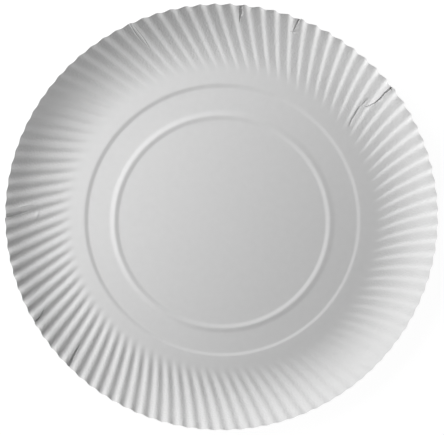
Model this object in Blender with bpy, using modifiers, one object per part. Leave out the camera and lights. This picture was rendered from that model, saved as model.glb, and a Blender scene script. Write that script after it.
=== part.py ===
"""Round disposable paper plate, pressed in one stroke from one disc of paperboard.

The floor has a raised bead ring and, further out, a small step up to a level shelf. From the shelf the rim
curves up, and it is pleated into flutes that all lean one way. The rim of this plate is torn in places.
Units are metres, +Z is up, and the origin is the middle of the underside, where the plate stands.
"""

import math

import bmesh
import bpy
from mathutils import Matrix

MM = 0.001

# The board
BOARD_THICKNESS = 0.4 * MM

# The floor, from the middle outwards
DISC_RADIUS = 56.9 * MM
BEAD_WIDTH = 5.4 * MM
BEAD_HEIGHT = 0.45 * MM
LAND_WIDTH = 12.2 * MM
STEP_WIDTH = 1.8 * MM
STEP_HEIGHT = 0.45 * MM
SHELF_WIDTH = 9.4 * MM

# The rim, an arc that leaves the shelf level
RIM_ARC_RADIUS = 42.0 * MM
RIM_EDGE_SLOPE = math.radians(44.2)

# The flutes: straight pleats, each with a steep flank and a wide one between two folds
FLUTE_COUNT = 96
FLUTE_DEPTH = 0.8 * MM
FLUTE_RUN_IN = 7.0 * MM
FLUTE_TANGENT_RADIUS = 34.5 * MM
FLUTE_TURN = math.radians(-1.94)
STEEP_SHARE_AT_SHELF = 0.28
STEEP_SHARE_AT_EDGE = 0.42
FOLD_SHARE = 0.12

# How finely the sheet is divided
FOLD_LINES_PER_FLUTE = 4
BEAD_BANDS = 4
RIM_BANDS = 5
TEAR_BANDS = 5

# The tears: place of the mouth in degrees, length in from the edge, width of the mouth, and how far
# the tip lies to the clockwise side of the mouth's radius, and the middle of the tear to that of its chord
TEARS = (
    (40.1, 15.0 * MM, 0.9 * MM, 1.1 * MM, 1.3 * MM),
    (69.6, 7.5 * MM, 0.4 * MM, 0.3 * MM, 0.2 * MM),
    (84.6, 7.2 * MM, 0.4 * MM, -0.9 * MM, 0.2 * MM),
    (207.2, 6.0 * MM, 0.4 * MM, 2.8 * MM, 0.3 * MM),
    (222.5, 9.5 * MM, 0.5 * MM, 3.0 * MM, 0.8 * MM),
)
OVERSHOOT_SHARE = 0.2

PAPER_COLOUR = (0.80, 0.80, 0.80, 1.0)
PAPER_ROUGHNESS = 0.85


def clear_scene():
    for old in list(bpy.data.objects):
        bpy.data.objects.remove(old)


def collection(name):
    made = bpy.data.collections.new(name)
    bpy.context.scene.collection.children.link(made)
    return made


def paper():
    material = bpy.data.materials.new("white_paperboard")
    material.use_nodes = True
    shader = material.node_tree.nodes["Principled BSDF"]
    shader.inputs["Base Color"].default_value = PAPER_COLOUR
    shader.inputs["Roughness"].default_value = PAPER_ROUGHNESS
    shader.inputs["Metallic"].default_value = 0.0
    return material


def floor_profile():
    """Radius and height along the top of the floor, from the middle to the outside of the shelf."""
    top = BOARD_THICKNESS
    points = [(0.0, top)]
    for i in range(BEAD_BANDS + 1):
        share = i / BEAD_BANDS
        points.append((DISC_RADIUS + share * BEAD_WIDTH, top + BEAD_HEIGHT * math.sin(math.pi * share) ** 2))
    step_foot = DISC_RADIUS + BEAD_WIDTH + LAND_WIDTH
    points.append((step_foot, top))
    points.append((step_foot + STEP_WIDTH, top + STEP_HEIGHT))
    points.append((step_foot + STEP_WIDTH + SHELF_WIDTH, top + STEP_HEIGHT))
    return points


def rim_profile(start, height):
    """Radius and height up the rim's arc, without its first point."""
    points = []
    for i in range(1, RIM_BANDS + 1):
        slope = RIM_EDGE_SLOPE * i / RIM_BANDS
        points.append((start + RIM_ARC_RADIUS * math.sin(slope), height + RIM_ARC_RADIUS * (1 - math.cos(slope))))
    return points


def turned_sheet(profile, steps):
    """The profile swept once round Z, as an open sheet."""
    line = bpy.data.meshes.new("profile")
    line.from_pydata([(r, 0.0, z) for r, z in profile], [(i, i + 1) for i in range(len(profile) - 1)], [])
    turned = bpy.data.objects.new("turned", line)
    bpy.context.scene.collection.objects.link(turned)
    screw = turned.modifiers.new("turn", "SCREW")
    screw.steps = screw.render_steps = steps
    screw.use_merge_vertices = True
    screw.merge_threshold = 0.01 * MM
    bpy.context.view_layer.update()
    sheet = bpy.data.meshes.new_from_object(turned.evaluated_get(bpy.context.evaluated_depsgraph_get()))
    bpy.data.objects.remove(turned)
    return sheet


def radius_of(vert):
    return math.hypot(vert.co.x, vert.co.y)


def column_of(vert):
    columns = FLUTE_COUNT * FOLD_LINES_PER_FLUTE
    return round(math.atan2(vert.co.y, vert.co.x) / math.tau * columns) % columns


def thin_floor(bm, rim_start):
    """Leaves the floor one radial edge for each flute, where the rim has one for each fold line."""
    spare = []
    for edge in bm.edges:
        inner, outer = sorted((radius_of(vert) for vert in edge.verts))
        is_radial = outer - inner > 0.05 * MM
        on_floor = outer < rim_start + 0.05 * MM
        if is_radial and on_floor and column_of(max(edge.verts, key=radius_of)) % FOLD_LINES_PER_FLUTE:
            spare.append(edge)
    bmesh.ops.dissolve_edges(bm, edges=spare, use_verts=True)


def fold_line(number, steep_share):
    """Place of a fold line along its flute and its height, in shares of the pitch and of the flute's depth.

    The steep flank runs down through place 0. Two lines flank the crest before it, two the valley after it.
    """
    beside_crest = number < FOLD_LINES_PER_FLUTE // 2
    on_steep_side = number in (1, 2)
    corner = -steep_share / 2 if beside_crest else steep_share / 2
    place = corner + (FOLD_SHARE / 2 if number % 2 else -FOLD_SHARE / 2)
    fall = FOLD_SHARE / 2 / (steep_share if on_steep_side else 1 - steep_share)
    height = 0.5 - fall if beside_crest else fall - 0.5
    return place, height


def press_flutes(bm, rim_start, rim_end):
    """Turns the rim's columns into slanted fold lines, each lifted off the arc, square to it."""
    for vert in bm.verts:
        radius = radius_of(vert)
        if radius < rim_start - 0.05 * MM:
            continue
        flute, number = divmod(column_of(vert), FOLD_LINES_PER_FLUTE)
        way_out = (radius - rim_start) / (rim_end - rim_start)
        steep_share = STEEP_SHARE_AT_SHELF + (STEEP_SHARE_AT_EDGE - STEEP_SHARE_AT_SHELF) * way_out
        place, height = fold_line(number, steep_share)
        slant = math.asin(FLUTE_TANGENT_RADIUS / rim_start) - math.asin(FLUTE_TANGENT_RADIUS / radius)
        angle = (flute + place) / FLUTE_COUNT * math.tau + slant
        slope = math.asin(min(1.0, max(0.0, (radius - rim_start) / RIM_ARC_RADIUS)))
        growth = min(1.0, max(0.0, (radius - rim_start) / FLUTE_RUN_IN))
        lift = FLUTE_DEPTH * growth * height
        out = radius - lift * math.sin(slope)
        vert.co = (out * math.cos(angle), out * math.sin(angle), vert.co.z + lift * math.cos(slope))


def face_up(bm):
    """Turns the sheet's faces to the food side."""
    bmesh.ops.recalc_face_normals(bm, faces=bm.faces)
    if sum(face.normal.z for face in bm.faces) < 0:
        bmesh.ops.reverse_faces(bm, faces=bm.faces)


def build_plate(parts):
    floor = floor_profile()
    rim_start, shelf_height = floor[-1]
    rim = rim_profile(rim_start, shelf_height)
    sheet = turned_sheet(floor + rim, FLUTE_COUNT * FOLD_LINES_PER_FLUTE)
    bm = bmesh.new()
    bm.from_mesh(sheet)
    thin_floor(bm, rim_start)
    press_flutes(bm, rim_start, rim[-1][0])
    bmesh.ops.rotate(bm, verts=bm.verts, matrix=Matrix.Rotation(FLUTE_TURN, 3, "Z"))
    face_up(bm)
    bm.to_mesh(sheet)
    bm.free()
    sheet.materials.append(paper())
    plate = bpy.data.objects.new("plate", sheet)
    parts.objects.link(plate)
    board = plate.modifiers.new("board", "SOLIDIFY")
    board.thickness = BOARD_THICKNESS
    board.offset = -1.0
    board.use_even_offset = True
    return plate, rim[-1]


def tear_outline(edge_radius, length, width, lean, bow):
    """Plan of a tear at azimuth 0: a bowed wedge, open past the rim's edge and sharp at its tip."""
    overshoot = length * OVERSHOOT_SHARE
    left, right = [], []
    for i in range(TEAR_BANDS + 1):
        share = i / TEAR_BANDS
        x = edge_radius + overshoot - (length + overshoot) * share
        y = -lean * share - 4 * bow * share * (1 - share)
        half = width / 2 * (1 - share)
        left.append((x, y + half, 0.0))
        right.append((x, y - half, 0.0))
    return left + right[-2::-1]


def cutter(cutters, name, outline, height, azimuth):
    """An upright prism over a plan outline, turned to its azimuth."""
    curve = bpy.data.curves.new(name, "CURVE")
    curve.dimensions = "2D"
    curve.fill_mode = "BOTH"
    curve.extrude = height
    spline = curve.splines.new("POLY")
    spline.points.add(len(outline) - 1)
    for point, place in zip(spline.points, outline):
        point.co = (*place, 1.0)
    spline.use_cyclic_u = True
    drawn = bpy.data.objects.new(name + "_outline", curve)
    drawn.rotation_euler.z = azimuth
    cutters.objects.link(drawn)
    bpy.context.view_layer.update()
    mesh = bpy.data.meshes.new_from_object(drawn.evaluated_get(bpy.context.evaluated_depsgraph_get()))
    bm = bmesh.new()
    bm.from_mesh(mesh)
    bmesh.ops.remove_doubles(bm, verts=bm.verts, dist=0.001 * MM)
    bmesh.ops.recalc_face_normals(bm, faces=bm.faces)
    bm.to_mesh(mesh)
    bm.free()
    made = bpy.data.objects.new(name, mesh)
    made.matrix_world = drawn.matrix_world.copy()
    bpy.data.objects.remove(drawn)
    made.hide_render = True
    made.display_type = "WIRE"
    cutters.objects.link(made)
    return made


def tear_rim(plate, cutters, rim_end):
    edge_radius, edge_height = rim_end
    for number, (azimuth, *shape) in enumerate(TEARS, 1):
        outline = tear_outline(edge_radius, *shape)
        knife = cutter(cutters, f"tear_{number}", outline, 2 * edge_height, math.radians(azimuth))
        cut = plate.modifiers.new(f"tear_{number}", "BOOLEAN")
        cut.operation = "DIFFERENCE"
        cut.solver = "EXACT"
        cut.object = knife


def main():
    clear_scene()
    plate, rim_end = build_plate(collection("paper_plate"))
    tear_rim(plate, collection("cutters"), rim_end)


main()
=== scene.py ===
"""Looks of the paper plate: the pressed board with its flutes, tears and creases, its light and its camera.

The plate lies food side up on a white floor. Its sheet is one surface: a turned profile that the flutes lift
square to itself and the breaks straight up, slit where the rim is torn, and given the board's thickness.
Units are metres, +Z is up, and the origin is the middle of the underside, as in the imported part.
"""

import math

import bmesh
import bpy
import numpy as np
from mathutils import Matrix, Vector


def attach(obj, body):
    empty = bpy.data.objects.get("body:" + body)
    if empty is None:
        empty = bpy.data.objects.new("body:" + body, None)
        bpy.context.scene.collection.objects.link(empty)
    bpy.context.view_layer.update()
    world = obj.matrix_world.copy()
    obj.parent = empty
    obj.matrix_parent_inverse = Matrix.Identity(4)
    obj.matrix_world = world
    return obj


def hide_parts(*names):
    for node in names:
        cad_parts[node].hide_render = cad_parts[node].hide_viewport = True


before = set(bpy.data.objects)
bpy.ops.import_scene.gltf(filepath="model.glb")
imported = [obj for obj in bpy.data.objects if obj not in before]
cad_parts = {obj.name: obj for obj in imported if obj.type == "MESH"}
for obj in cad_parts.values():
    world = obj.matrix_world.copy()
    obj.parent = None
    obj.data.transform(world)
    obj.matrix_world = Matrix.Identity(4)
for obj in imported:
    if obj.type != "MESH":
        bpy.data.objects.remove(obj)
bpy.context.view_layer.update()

MM = 0.001

# The board and its profile, from the middle outwards
BOARD = 0.4 * MM
EDGE_RADIUS = 115.0 * MM
BEAD_CREST = 59.3 * MM
BEAD_INNER_WIDTH = 2.7 * MM
BEAD_OUTER_WIDTH = 3.2 * MM
BEAD_OUTER_SHAPE = 0.75
SHELF_HEIGHT = 0.66 * MM
RIM_START = 84.6 * MM
RIM_BEND_END = 110.8 * MM

# Sizes that drift round the plate, each as its mean and what it gains towards +X and towards +Y. The land
# lies between bead and step
BEAD_HEIGHT = (0.54 * MM, -0.02 * MM, -0.05 * MM)
LAND_HEIGHT = (0.08 * MM, 0.24 * MM, -0.04 * MM)
STEP_RADIUS = (74.8 * MM, 0.0, 0.1 * MM)
STEP_WIDTH = (2.2 * MM, -0.3 * MM, 0.6 * MM)
RIM_SLOPE = (math.radians(35.4), math.radians(0.3), 0.0)

# How far the pressed edge is from a true circle, in lobes: how many, their size, and the azimuth of one
OUT_OF_ROUND = (
    (0, -0.22 * MM, 0.0),
    (1, 0.88 * MM, math.radians(153.0)),
    (2, 0.16 * MM, math.radians(20.0)),
    (3, 0.12 * MM, math.radians(19.0)),
    (4, 0.10 * MM, math.radians(0.0)),
)

# The flutes: pleats that slant along lines which pass the middle at the tangent radius. A turn is in radians,
# a twist in radians for each metre outwards, and the growth is by how large a share of itself the depth grows
# for each metre outwards. Where three values stand together, they drift round the plate as above
FLUTE_COUNT = 96
TANGENT_RADIUS = 37.9 * MM
FLUTE_TURN = (0.0253, -0.0012, -0.0008)
FLUTE_TWIST = -0.48
FLUTE_MID_RADIUS = 101.2 * MM
FLUTE_DEPTH = (0.785 * MM, -0.215 * MM, -0.09 * MM)
FLUTE_GROWTH = (7.3, -1.0, 11.5)
FLUTE_RUN_IN_START = (81.1 * MM, 0.6 * MM, 0.0)
FLUTE_RUN_IN = 13.0 * MM
INNERMOST_ON_LINE = 1.01 * TANGENT_RADIUS

# A flute's section: a steep flank and a wide one between two rounded folds. The steep flank's share of the
# pitch grows for each metre outwards, and a fold reaches a share of the pitch to each side
STEEP_SHARE = (0.403, -0.09, -0.076)
STEEP_GROWTH = (1.4, -0.2, 1.0)
STEEP_LIMITS = (0.15, 0.6)
CREST_REACH = (0.166, -0.032, 0.0)
VALLEY_REACH = (0.149, -0.015, -0.03)
REACH_LIMITS = (0.02, 0.4)
FOLDED_AT_MOST = 0.95

# How much further than square to the profile the flutes lean inwards at the edge, in lobes as above
EDGE_LEAN = (
    (0, 1.3, 0.0),
    (1, 0.6, math.radians(0.0)),
    (2, 0.5, math.radians(45.0)),
)
EDGE_LEAN_WIDTH = 4.0 * MM

# The breaks in the rim. Each path runs inwards through places given as radius in millimetres and azimuth in
# degrees. Beside it the board stands up by a height over a reach: first on the side towards growing azimuth,
# then on the other. A torn break also has a strip pushed down out of the light: its width, less than 0 where
# it lies towards growing azimuth, and its depth at the path and at its far side. A break from the edge fades
# towards its inner end, and one inside the rim towards both ends
BREAKS = {
    "long_tear": (
        ((116.5, 40.5), (110.6, 39.8), (107.2, 39.4), (104.4, 39.3), (101.8, 39.4), (100.1, 39.7),
         (98.9, 40.3)),
        (0.32 * MM, 2.6 * MM), (0.0, 1.0 * MM), (1.1 * MM, 0.5 * MM, 1.35 * MM),
    ),
    "tear_crease": (
        ((98.9, 40.3), (97.5, 41.1), (95.5, 40.6), (92.6, 39.8), (89.8, 39.3), (86.6, 37.9)),
        (-0.42 * MM, 1.5 * MM), (-0.42 * MM, 3.0 * MM), None,
    ),
    "tear_branch": (((101.6, 41.1), (98.9, 40.9)), (-0.35 * MM, 0.9 * MM), (-0.35 * MM, 1.5 * MM), None),
    "top_tear": (
        ((117.0, 85.3), (111.6, 85.0), (107.0, 84.85)),
        (0.20 * MM, 2.4 * MM), (0.0, 1.0 * MM), (2.0 * MM, 0.3 * MM, 1.3 * MM),
    ),
    "upper_right_tear": (
        ((117.0, 69.8), (112.2, 70.0), (109.3, 70.1), (107.8, 70.0)),
        (0.08 * MM, 1.5 * MM), (0.0, 1.0 * MM), (1.4 * MM, 0.1 * MM, 1.0 * MM),
    ),
    "upper_right_dent": (
        ((108.2, 70.6), (108.9, 68.7)), (-0.35 * MM, 0.9 * MM), (-0.35 * MM, 1.5 * MM), None,
    ),
    "left_tear": (
        ((117.0, 176.1), (110.9, 175.7), (107.3, 175.3), (102.6, 174.9)),
        (0.0, 2.0 * MM), (0.20 * MM, 2.0 * MM), (-2.6 * MM, -0.3 * MM, 0.8 * MM),
    ),
    "left_crumple": (
        ((108.9, 174.3), (105.4, 173.6), (101.8, 173.7)), (0.32 * MM, 0.9 * MM), (0.32 * MM, 0.9 * MM), None,
    ),
    "left_dent": (((101.5, 177.6), (99.6, 175.4)), (0.36 * MM, 1.0 * MM), (0.36 * MM, 1.0 * MM), None),
    "low_left_tear": (
        ((116.5, 207.0), (113.4, 206.6), (111.3, 206.3), (109.1, 205.4), (107.6, 204.8)),
        (0.0, 1.0 * MM), (0.08 * MM, 1.5 * MM), (-0.85 * MM, 0.1 * MM, 1.2 * MM),
    ),
    "bottom_left_tear": (
        ((116.5, 222.3), (112.2, 221.4), (109.7, 220.8), (107.6, 220.5), (104.2, 220.1)),
        (0.0, 1.0 * MM), (0.15 * MM, 1.4 * MM), (-1.9 * MM, 0.1 * MM, 1.4 * MM),
    ),
    "upper_left_ridge": (
        ((117.0, 113.7), (114.3, 113.6), (110.3, 113.5), (105.3, 112.8), (102.5, 112.2)),
        (0.42 * MM, 0.8 * MM), (0.42 * MM, 0.8 * MM), None,
    ),
    "upper_left_second_ridge": (
        ((114.6, 113.0), (110.1, 112.6), (106.0, 111.9), (100.6, 111.7)),
        (0.36 * MM, 0.7 * MM), (0.36 * MM, 0.7 * MM), None,
    ),
}

# How a break fades along its path, how its rise falls off beside it, and how much of its reach is left at its
# tip
OPENING_POWER = 0.5
RISE_POWER = 3
REACH_AT_TIP = 0.4

# How paths are rounded, and how the sheet is divided and cut beside them
CORNER_CUTS = 2
CORNER_SHARE = 0.25
REFINED_WIDTHS = (2.2 * MM, 0.8 * MM)
CUT_WIDTH = 1.5 * MM
SPAN_WIDTH = 0.8 * MM
SAME_PLACE = 1e-7
ON_PATH = 2e-6
NARROWEST_STRIP = 0.01 * MM

# How finely the sheet is divided: columns for each flute, and rings in bands of (inner radius, outer radius,
# number of rings), in millimetres
FOLD_COLUMNS = 5
RIM_COLUMNS_PER_FLUTE = 12
FLOOR_COLUMNS_PER_FLUTE = 4
FLOOR_BANDS = ((0.0, 56.0, 4), (56.0, 63.2, 10), (63.2, 73.0, 2), (73.0, 77.4, 6), (77.4, 81.0, 2))
RIM_BANDS = ((81.0, 111.0, 15), (111.0, 115.0, 5))

# The reach over which the profile's slope is taken, the sharpest fold that is shaded smooth, and the least
# upright that the board counts as along its cut edge
SLOPE_REACH = 0.05 * MM
SHARPEST_SMOOTH_FOLD = math.radians(50.0)
LEAST_UPRIGHT = 0.6

# The camera, square to the plate but for a small tilt
CAMERA_TILT = math.radians(9.577)
CAMERA_AZIMUTH = math.radians(81.58)
CAMERA_DISTANCE = 389.6 * MM
CAMERA_LENS = 57.46
CAMERA_SHIFT = (0.0004, 0.0157)
SENSOR_WIDTH = 36.0

# The light: each lamp's azimuth and height in degrees, its distance, width and height, and its watts
SOFTBOXES = {
    "key": (140.0, 35.0, 600.0 * MM, (450.0 * MM, 250.0 * MM), 3.09),
    "low_key": (150.0, 11.0, 600.0 * MM, (250.0 * MM, 220.0 * MM), 1.78),
    "fill": (264.0, 12.0, 600.0 * MM, (250.0 * MM, 250.0 * MM), 0.73),
    "top": (180.0, 45.0, 350.0 * MM, (160.0 * MM, 160.0 * MM), 0.228),
}
SKY_STRENGTH = 0.035

# The paper: its tone with a faint mottle, and its felt, of a strength that grows over a span of radii
PAPER_TONE = 0.76
PAPER_ROUGHNESS = 0.88
PAPER_SPECULAR = 0.3
MOTTLE = 0.02
MOTTLE_SCALE = 260.0
MOTTLE_DETAIL = 4.0
FELT_SCALE = 1000.0
FELT_DETAIL = 2.0
FELT_DEPTH = 0.2 * MM
FELT_STRENGTH = (0.02, 1.0)
ROUGHENED = (84.0 * MM, 92.0 * MM)

# The floor: its tone in the light's own bounces, and the glow and the tone that the eye sees
FLOOR_TONE = 0.80
FLOOR_GLOW = 0.97
FLOOR_SHADE = 0.12
FLOOR_SIZE = 4.0


def smooth(share):
    """Rises from 0 to 1 as the share does, level at both ends."""
    share = np.clip(share, 0.0, 1.0)
    return share * share * (3.0 - 2.0 * share)


def trend(values, azimuth):
    """A value that varies once round the plate: its mean, and what it gains towards +X and +Y."""
    mean, along_x, along_y = values
    return mean + along_x * np.cos(azimuth) + along_y * np.sin(azimuth)


def profile_height(radius, azimuth):
    """Height of the top of the board without its flutes."""
    land = np.maximum(trend(LAND_HEIGHT, azimuth), 0.0)
    up_bead = smooth((radius - BEAD_CREST) / BEAD_INNER_WIDTH + 1)
    down_bead = smooth(np.maximum((radius - BEAD_CREST) / BEAD_OUTER_WIDTH, 0.0) ** BEAD_OUTER_SHAPE)
    step = smooth((radius - trend(STEP_RADIUS, azimuth)) / trend(STEP_WIDTH, azimuth) + 0.5)
    bead = trend(BEAD_HEIGHT, azimuth)
    floor = bead * up_bead + (land - bead) * down_bead + (SHELF_HEIGHT - land) * step
    slope = trend(RIM_SLOPE, azimuth)
    bend = slope / (RIM_BEND_END - RIM_START)
    bent = np.clip(radius, RIM_START, RIM_BEND_END) - RIM_START
    straight = np.maximum(radius - RIM_BEND_END, 0.0)
    return BOARD + floor - np.log(np.cos(bend * bent)) / bend + np.tan(slope) * straight


def profile_slope(radius, azimuth):
    rise = profile_height(radius + SLOPE_REACH, azimuth) - profile_height(radius - SLOPE_REACH, azimuth)
    return rise / (2 * SLOPE_REACH)


def steep_azimuth(radius):
    """How far the flutes have turned round the plate at each radius."""
    outside = np.maximum(radius, INNERMOST_ON_LINE)
    return FLUTE_TWIST * (outside - FLUTE_MID_RADIUS) - np.arcsin(TANGENT_RADIUS / outside)


def section(radius, azimuth):
    """A flute's steep share and the reach of its crest fold and its valley fold, which never meet."""
    growth = trend(STEEP_GROWTH, azimuth) * (radius - FLUTE_MID_RADIUS)
    steep = np.clip(trend(STEEP_SHARE, azimuth) + growth, *STEEP_LIMITS)
    room = FOLDED_AT_MOST * np.minimum(steep, 1 - steep)
    crest = np.clip(trend(CREST_REACH, azimuth), *REACH_LIMITS)
    valley = np.clip(trend(VALLEY_REACH, azimuth), *REACH_LIMITS)
    fit = np.minimum(room / (crest + valley), 1.0)
    return steep, crest * fit, valley * fit


def pleat(place, steep, crest, valley):
    """Height across one flute. It and the place both run from -0.5 to 0.5, and the steep flank falls at 0."""
    straight = np.where(
        np.abs(place) < steep / 2,
        -place / steep,
        np.sign(place) * ((np.abs(place) - steep / 2) / (1 - steep) - 0.5),
    )
    bend = (1 / steep + 1 / (1 - steep)) / 4
    by_crest = np.maximum(crest - np.abs(place + steep / 2), 0.0)
    by_valley = np.maximum(valley - np.abs(place - steep / 2), 0.0)
    return straight - bend / crest * by_crest ** 2 + bend / valley * by_valley ** 2


def flute_lift(radius, azimuth):
    """How far the flutes lift the board, square to its profile."""
    turn = (azimuth - steep_azimuth(radius) - trend(FLUTE_TURN, azimuth)) / math.tau * FLUTE_COUNT
    place = turn - np.round(turn)
    growth = trend(FLUTE_GROWTH, azimuth) * (radius - FLUTE_MID_RADIUS)
    run_in = smooth((radius - trend(FLUTE_RUN_IN_START, azimuth)) / FLUTE_RUN_IN)
    return trend(FLUTE_DEPTH, azimuth) * (1 + growth) * run_in * pleat(place, *section(radius, azimuth))


def column_places(radius, azimuths, columns_per_flute):
    """Places across each flute for the mesh's columns: on each fold, and in the middle of each flank."""
    steep, crest, valley = section(radius, azimuths)
    across_fold = np.linspace(-1.0, 1.0, FOLD_COLUMNS)
    on_crest = -steep[:, None] / 2 + crest[:, None] * across_fold
    on_valley = steep[:, None] / 2 + valley[:, None] * across_fold
    on_steep = (on_crest[:, -1:] + on_valley[:, :1]) / 2
    on_wide = (on_valley[:, -1:] + on_crest[:, :1] + 1.0) / 2
    places = np.hstack([on_crest, on_steep, on_valley, on_wide])
    return places[:, ::RIM_COLUMNS_PER_FLUTE // columns_per_flute]


def lobed(parts, azimuth):
    """A value at each azimuth, from its parts of (lobes round the plate, size, azimuth of one)."""
    return sum(size * np.cos(lobes * (azimuth - towards)) for lobes, size, towards in parts)


def pressed(flat, lift):
    """Points on top of the pressed board, from their places on the flat one and the breaks' lift there."""
    radius = np.hypot(flat[:, 0], flat[:, 1])
    azimuth = np.arctan2(flat[:, 1], flat[:, 0])
    slope = np.arctan(profile_slope(radius, azimuth))
    fluted = flute_lift(radius, azimuth)
    drift = lobed(OUT_OF_ROUND, azimuth) * smooth((radius - RIM_START) / (EDGE_RADIUS - RIM_START))
    lean = lobed(EDGE_LEAN, azimuth) * smooth((radius - EDGE_RADIUS) / EDGE_LEAN_WIDTH + 1)
    out = radius + drift - fluted * np.sin(slope) * (1 + lean)
    up = profile_height(radius, azimuth) + fluted * np.cos(slope) + lift
    return np.stack([out * np.cos(azimuth), out * np.sin(azimuth), up], axis=-1)


def ring_radii(bands):
    """Radii of the rings in each band of (inner radius, outer radius, number of rings), in millimetres."""
    radii = []
    for inner, outer, count in bands:
        radii += [inner + (outer - inner) * i / count for i in range(1, count + 1)]
    return np.array(radii) * MM


def ring_points(radius, columns_per_flute):
    """Points of one ring, which stand on the flutes' lines, drawn on to the middle as radii."""
    lined_up = max(radius, RIM_START)
    flutes = np.arange(FLUTE_COUNT)
    middles = steep_azimuth(lined_up) + flutes / FLUTE_COUNT * math.tau
    turn = flutes[:, None] + column_places(lined_up, middles, columns_per_flute)
    azimuth = steep_azimuth(lined_up) + turn.ravel() / FLUTE_COUNT * math.tau
    azimuth = azimuth + trend(FLUTE_TURN, azimuth)
    return radius * np.stack([np.cos(azimuth), np.sin(azimuth)], axis=-1)


def joined_rings(inner, outer):
    """Faces between two rings of corner numbers. The outer may have several corners to the inner's one."""
    share = len(outer) // len(inner)
    faces = []
    for i in range(len(inner)):
        ahead = (i + 1) % len(inner)
        along = [outer[(i * share + j) % len(outer)] for j in range(share + 1)]
        faces.append([inner[i], *along, inner[ahead]])
    return faces


def flat_sheet():
    """The flat board as an open mesh of rings and columns."""
    rings = [(radius, FLOOR_COLUMNS_PER_FLUTE) for radius in ring_radii(FLOOR_BANDS)]
    rings += [(radius, RIM_COLUMNS_PER_FLUTE) for radius in ring_radii(RIM_BANDS)]
    places = [np.zeros((1, 2))]
    faces, count, inner = [], 1, None
    for radius, columns_per_flute in rings:
        places.append(ring_points(radius, columns_per_flute))
        columns = FLUTE_COUNT * columns_per_flute
        outer = list(range(count, count + columns))
        count += columns
        if inner is None:
            faces += [[0, outer[i], outer[(i + 1) % columns]] for i in range(columns)]
        else:
            faces += joined_rings(inner, outer)
        inner = outer
    mesh = bpy.data.meshes.new("sheet")
    mesh.from_pydata([(x, y, 0.0) for x, y in np.concatenate(places).tolist()], [], faces)
    return mesh


def path_of(places):
    """A path on the flat board, its corners cut off, from radii in millimetres and azimuths in degrees."""
    radius, azimuth = np.array(places).T
    azimuth = np.radians(azimuth)
    path = radius[:, None] * MM * np.stack([np.cos(azimuth), np.sin(azimuth)], axis=-1)
    for _ in range(CORNER_CUTS):
        early = (1 - CORNER_SHARE) * path[:-1] + CORNER_SHARE * path[1:]
        late = CORNER_SHARE * path[:-1] + (1 - CORNER_SHARE) * path[1:]
        between = np.stack([early, late], axis=1).reshape(-1, 2)
        path = np.concatenate([path[:1], between[1:-1], path[-1:]])
    return path


def beside(points, path):
    """How far along a path each point lies, as a share, and how far off it, more than 0 on its left."""
    spans = np.diff(path, axis=0)
    lengths = np.hypot(spans[:, 0], spans[:, 1])
    passed = np.concatenate([[0.0], np.cumsum(lengths)])
    along, off = np.zeros(len(points)), np.full(len(points), np.inf)
    for start, span, length, before in zip(path, spans, lengths, passed):
        reached = points - start
        share = np.clip(reached @ span / length ** 2, 0.0, 1.0)
        gap = reached - share[:, None] * span
        distance = np.hypot(gap[:, 0], gap[:, 1])
        left = span[0] * reached[:, 1] > span[1] * reached[:, 0]
        closer = distance < np.abs(off)
        off = np.where(closer, np.where(left, distance, -distance), off)
        along = np.where(closer, (before + share * length) / passed[-1], along)
    return along, off


def opened(along, path):
    """How far a break has opened at each share of its path, from 1 to 0."""
    if np.hypot(*path[0]) > EDGE_RADIUS:
        return np.maximum(1.0 - along, 0.0) ** OPENING_POWER
    return np.maximum(np.sin(math.pi * along), 0.0) ** OPENING_POWER


def strip_path(path, width):
    """The far side of the strip beside a path, which closes where the break does."""
    ahead = np.gradient(path, axis=0)
    to_left = np.stack([-ahead[:, 1], ahead[:, 0]], axis=-1) / np.hypot(ahead[:, 0], ahead[:, 1])[:, None]
    return path + width * opened(beside(path, path)[0], path)[:, None] * to_left


def flat_places(items):
    """Where corners or faces lie on the flat board."""
    return np.array([(item.co if isinstance(item, bmesh.types.BMVert) else item.calc_center_median())[:2]
                     for item in items])


def faces_along(faces, path, width):
    """The faces within a width of a path."""
    off = beside(flat_places(faces), path)[1]
    return [face for face, distance in zip(faces, np.abs(off)) if distance < width]


def refine(bm, path):
    """Divides the flat sheet more finely beside a path."""
    for width in REFINED_WIDTHS:
        near = faces_along(list(bm.faces), path, width)
        edges = list({edge for face in near for edge in face.edges})
        bmesh.ops.subdivide_edges(bm, edges=edges, cuts=1, use_grid_fill=True)


def slit(bm, path):
    """Cuts the flat sheet along a path, so that its two sides can part."""
    by_path = set(faces_along(list(bm.faces), path, CUT_WIDTH))
    for start, end in zip(path[:-1], path[1:]):
        near = faces_along(list(by_path), np.array([start, end]), SPAN_WIDTH)
        by_path -= set(near)
        edges = {edge for face in near for edge in face.edges}
        verts = {vert for face in near for vert in face.verts}
        across = (start[1] - end[1], end[0] - start[0], 0.0)
        divided = bmesh.ops.bisect_plane(
            bm, geom=[*near, *edges, *verts], dist=SAME_PLACE, plane_co=(*start, 0.0), plane_no=across)
        by_path |= {item for item in divided["geom"] if isinstance(item, bmesh.types.BMFace)}
    verts = list(bm.verts)
    along, off = beside(flat_places(verts), path)
    inside = (np.abs(off) < ON_PATH) & (along > 0) & (along < 1)
    on_path = {verts[i] for i in np.flatnonzero(inside)}
    bmesh.ops.split_edges(bm, edges=[edge for edge in bm.edges if set(edge.verts) <= on_path])


def sides(bm, flat, path):
    """Every corner's share along a path, its distance and its side. A corner on a cut has its faces' side."""
    along, off = beside(flat, path)
    side = np.sign(off)
    for i in np.flatnonzero(np.abs(off) < ON_PATH):
        centres = flat_places(bm.verts[i].link_faces)
        side[i] = np.sign(beside(centres, path)[1].mean())
    return along, np.abs(off), side


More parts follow.
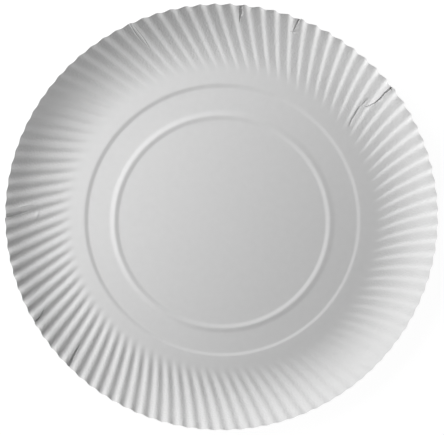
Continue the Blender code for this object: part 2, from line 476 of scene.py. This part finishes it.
def break_lift(bm, flat, path, rise, other_rise, strip):
    """How far a break lifts the board at each corner."""
    along, off, side = sides(bm, flat, path)
    height = np.where(side > 0, other_rise[0], rise[0])
    reach = np.where(side > 0, other_rise[1], rise[1])
    reach = reach * (REACH_AT_TIP + (1 - REACH_AT_TIP) * opened(along, path))
    lift = height * np.maximum(1.0 - off / reach, 0.0) ** RISE_POWER
    if strip:
        width, near_depth, far_depth = strip
        far_side = sides(bm, flat, strip_path(path, width))[2]
        strip_width = np.maximum(abs(width) * opened(along, path), NARROWEST_STRIP)
        across = np.minimum(off / strip_width, 1.0)
        on_strip = (side * width > 0) & (far_side * width < 0)
        lift -= (near_depth + (far_depth - near_depth) * across) * on_strip
    return opened(along, path) * lift


def plate_sheet():
    """The top of the pressed board as an open mesh, broken where the rim is."""
    mesh = flat_sheet()
    bm = bmesh.new()
    bm.from_mesh(mesh)
    breaks = [(path_of(places), *shape) for places, *shape in BREAKS.values()]
    for path, rise, other_rise, strip in breaks:
        refine(bm, path)
        if rise != other_rise:
            slit(bm, path)
        if strip:
            slit(bm, strip_path(path, strip[0]))
    bm.verts.ensure_lookup_table()
    flat = flat_places(bm.verts)
    lift = sum(break_lift(bm, flat, *values) for values in breaks)
    for vert, place in zip(bm.verts, pressed(flat, lift)):
        vert.co = place
    bm.to_mesh(mesh)
    bm.free()
    return mesh


def noise(nodes, links, place, scale, detail):
    made = nodes.new("ShaderNodeTexNoise")
    made.inputs["Scale"].default_value = scale
    made.inputs["Detail"].default_value = detail
    links.new(place.outputs["Object"], made.inputs["Vector"])
    return made.outputs["Fac"]


def from_to(nodes, links, value, span, result):
    made = nodes.new("ShaderNodeMapRange")
    made.inputs["From Min"].default_value, made.inputs["From Max"].default_value = span
    made.inputs["To Min"].default_value, made.inputs["To Max"].default_value = result
    links.new(value, made.inputs["Value"])
    return made.outputs["Result"]


def paper():
    """White board: faint mottle in its tone, and a fine felt that pressing the flutes has roughened."""
    material = bpy.data.materials.new("paper")
    material.use_nodes = True
    nodes, links = material.node_tree.nodes, material.node_tree.links
    shader = nodes["Principled BSDF"]
    shader.inputs["Roughness"].default_value = PAPER_ROUGHNESS
    shader.inputs["Specular IOR Level"].default_value = PAPER_SPECULAR
    place = nodes.new("ShaderNodeTexCoord")
    mottle = noise(nodes, links, place, MOTTLE_SCALE, MOTTLE_DETAIL)
    tone = from_to(nodes, links, mottle, (0.0, 1.0), (PAPER_TONE - MOTTLE, PAPER_TONE + MOTTLE))
    links.new(tone, shader.inputs["Base Color"])
    from_middle = nodes.new("ShaderNodeVectorMath")
    from_middle.operation = "LENGTH"
    links.new(place.outputs["Object"], from_middle.inputs[0])
    bump = nodes.new("ShaderNodeBump")
    bump.inputs["Distance"].default_value = FELT_DEPTH
    strength = from_to(nodes, links, from_middle.outputs["Value"], ROUGHENED, FELT_STRENGTH)
    links.new(noise(nodes, links, place, FELT_SCALE, FELT_DETAIL), bump.inputs["Height"])
    links.new(strength, bump.inputs["Strength"])
    links.new(bump.outputs["Normal"], shader.inputs["Normal"])
    return material


def cut_edge(mesh):
    """Numbers of the corners along the open sheet's edges, and how upright the board's face is there."""
    bm = bmesh.new()
    bm.from_mesh(mesh)
    along = [(vert.index, max(abs(vert.normal.z), LEAST_UPRIGHT)) for vert in bm.verts if vert.is_boundary]
    bm.free()
    return along


def build_plate():
    sheet = bpy.data.objects.new("sheet", plate_sheet())
    bpy.context.scene.collection.objects.link(sheet)
    edge, top_corners = cut_edge(sheet.data), len(sheet.data.vertices)
    board = sheet.modifiers.new("board", "SOLIDIFY")
    board.thickness = BOARD
    board.offset = -1.0
    bpy.context.view_layer.update()
    mesh = bpy.data.meshes.new_from_object(sheet.evaluated_get(bpy.context.evaluated_depsgraph_get()))
    bpy.data.objects.remove(sheet)
    mesh.name = "pressed_plate"
    for corner, upright in edge:
        down = Vector((0.0, 0.0, BOARD / upright))
        mesh.vertices[corner + top_corners].co = mesh.vertices[corner].co - down
    mesh.shade_smooth()
    mesh.set_sharp_from_angle(angle=SHARPEST_SMOOTH_FOLD)
    mesh.materials.append(paper())
    plate = bpy.data.objects.new("pressed_plate", mesh)
    bpy.context.scene.collection.objects.link(plate)
    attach(plate, "root")
    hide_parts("plate")


def seen_directly(nodes, links):
    """1 for rays from the camera, a mirror or a glass, and 0 for the light's own bounces."""
    path = nodes.new("ShaderNodeLightPath")
    direct = nodes.new("ShaderNodeMath")
    direct.operation = "ADD"
    either = nodes.new("ShaderNodeMath")
    either.operation = "ADD"
    either.use_clamp = True
    links.new(path.outputs["Is Camera Ray"], direct.inputs[0])
    links.new(path.outputs["Is Glossy Ray"], direct.inputs[1])
    links.new(direct.outputs[0], either.inputs[0])
    links.new(path.outputs["Is Transmission Ray"], either.inputs[1])
    return either.outputs[0]


def floor_material():
    """White to the eye, with the plate's shadow faint on it, and a plain pale floor to the light."""
    material = bpy.data.materials.new("floor")
    material.use_nodes = True
    nodes, links = material.node_tree.nodes, material.node_tree.links
    nodes.clear()
    plain = nodes.new("ShaderNodeBsdfDiffuse")
    plain.inputs["Color"].default_value = (FLOOR_TONE, FLOOR_TONE, FLOOR_TONE, 1.0)
    shade = nodes.new("ShaderNodeBsdfDiffuse")
    shade.inputs["Color"].default_value = (FLOOR_SHADE, FLOOR_SHADE, FLOOR_SHADE, 1.0)
    glow = nodes.new("ShaderNodeEmission")
    glow.inputs["Strength"].default_value = FLOOR_GLOW
    shown = nodes.new("ShaderNodeAddShader")
    chosen = nodes.new("ShaderNodeMixShader")
    output = nodes.new("ShaderNodeOutputMaterial")
    links.new(shade.outputs[0], shown.inputs[0])
    links.new(glow.outputs[0], shown.inputs[1])
    links.new(seen_directly(nodes, links), chosen.inputs[0])
    links.new(plain.outputs[0], chosen.inputs[1])
    links.new(shown.outputs[0], chosen.inputs[2])
    links.new(chosen.outputs[0], output.inputs["Surface"])
    return material


def build_floor():
    half = FLOOR_SIZE / 2
    corners = [(-half, -half, 0), (half, -half, 0), (half, half, 0), (-half, half, 0)]
    mesh = bpy.data.meshes.new("floor")
    mesh.from_pydata(corners, [], [(0, 1, 2, 3)])
    mesh.materials.append(floor_material())
    floor = bpy.data.objects.new("floor", mesh)
    bpy.context.scene.collection.objects.link(floor)


def build_sky():
    """A plain world: white to the eye, and an even soft light on the plate."""
    world = bpy.data.worlds.new("sky")
    bpy.context.scene.world = world
    world.use_nodes = True
    nodes, links = world.node_tree.nodes, world.node_tree.links
    nodes.clear()
    light = nodes.new("ShaderNodeBackground")
    light.inputs["Strength"].default_value = SKY_STRENGTH
    white = nodes.new("ShaderNodeBackground")
    chosen = nodes.new("ShaderNodeMixShader")
    output = nodes.new("ShaderNodeOutputWorld")
    light.inputs["Color"].default_value = (1.0, 1.0, 1.0, 1.0)
    white.inputs["Color"].default_value = (1.0, 1.0, 1.0, 1.0)
    links.new(seen_directly(nodes, links), chosen.inputs[0])
    links.new(light.outputs[0], chosen.inputs[1])
    links.new(white.outputs[0], chosen.inputs[2])
    links.new(chosen.outputs[0], output.inputs["Surface"])


def softbox(name, azimuth, height, distance, size, watts):
    """A lamp as a lit rectangle, square to the line to the middle of the plate."""
    round_plate, up = math.radians(azimuth), math.radians(height)
    place = Vector((math.cos(up) * math.cos(round_plate), math.cos(up) * math.sin(round_plate), math.sin(up)))
    lamp = bpy.data.lights.new(name, "AREA")
    lamp.shape = "RECTANGLE"
    lamp.size, lamp.size_y = size
    lamp.energy = watts
    box = bpy.data.objects.new(name, lamp)
    box.location = distance * place
    box.rotation_mode = "QUATERNION"
    box.rotation_quaternion = (-place).to_track_quat("-Z", "Y")
    box.visible_camera = False
    bpy.context.scene.collection.objects.link(box)


def build_camera():
    """The camera looks at the top of the floor's middle, with the frame's X level."""
    back = Vector((
        math.sin(CAMERA_TILT) * math.cos(CAMERA_AZIMUTH),
        math.sin(CAMERA_TILT) * math.sin(CAMERA_AZIMUTH),
        math.cos(CAMERA_TILT),
    ))
    right = Vector((1.0, 0.0, 0.0))
    right = (right - right.dot(back) * back).normalized()
    above = back.cross(right)
    data = bpy.data.cameras.new("camera")
    data.lens = CAMERA_LENS
    data.sensor_width = SENSOR_WIDTH
    data.shift_x, data.shift_y = CAMERA_SHIFT
    camera = bpy.data.objects.new("camera", data)
    turned = Matrix((right, above, back)).transposed().to_4x4()
    camera.matrix_world = Matrix.Translation(back * CAMERA_DISTANCE + Vector((0, 0, BOARD))) @ turned
    bpy.context.scene.collection.objects.link(camera)
    bpy.context.scene.camera = camera


build_plate()
build_floor()
build_sky()
for name, values in SOFTBOXES.items():
    softbox(name, *values)
build_camera()
bpy.context.scene.view_settings.view_transform = "Standard"
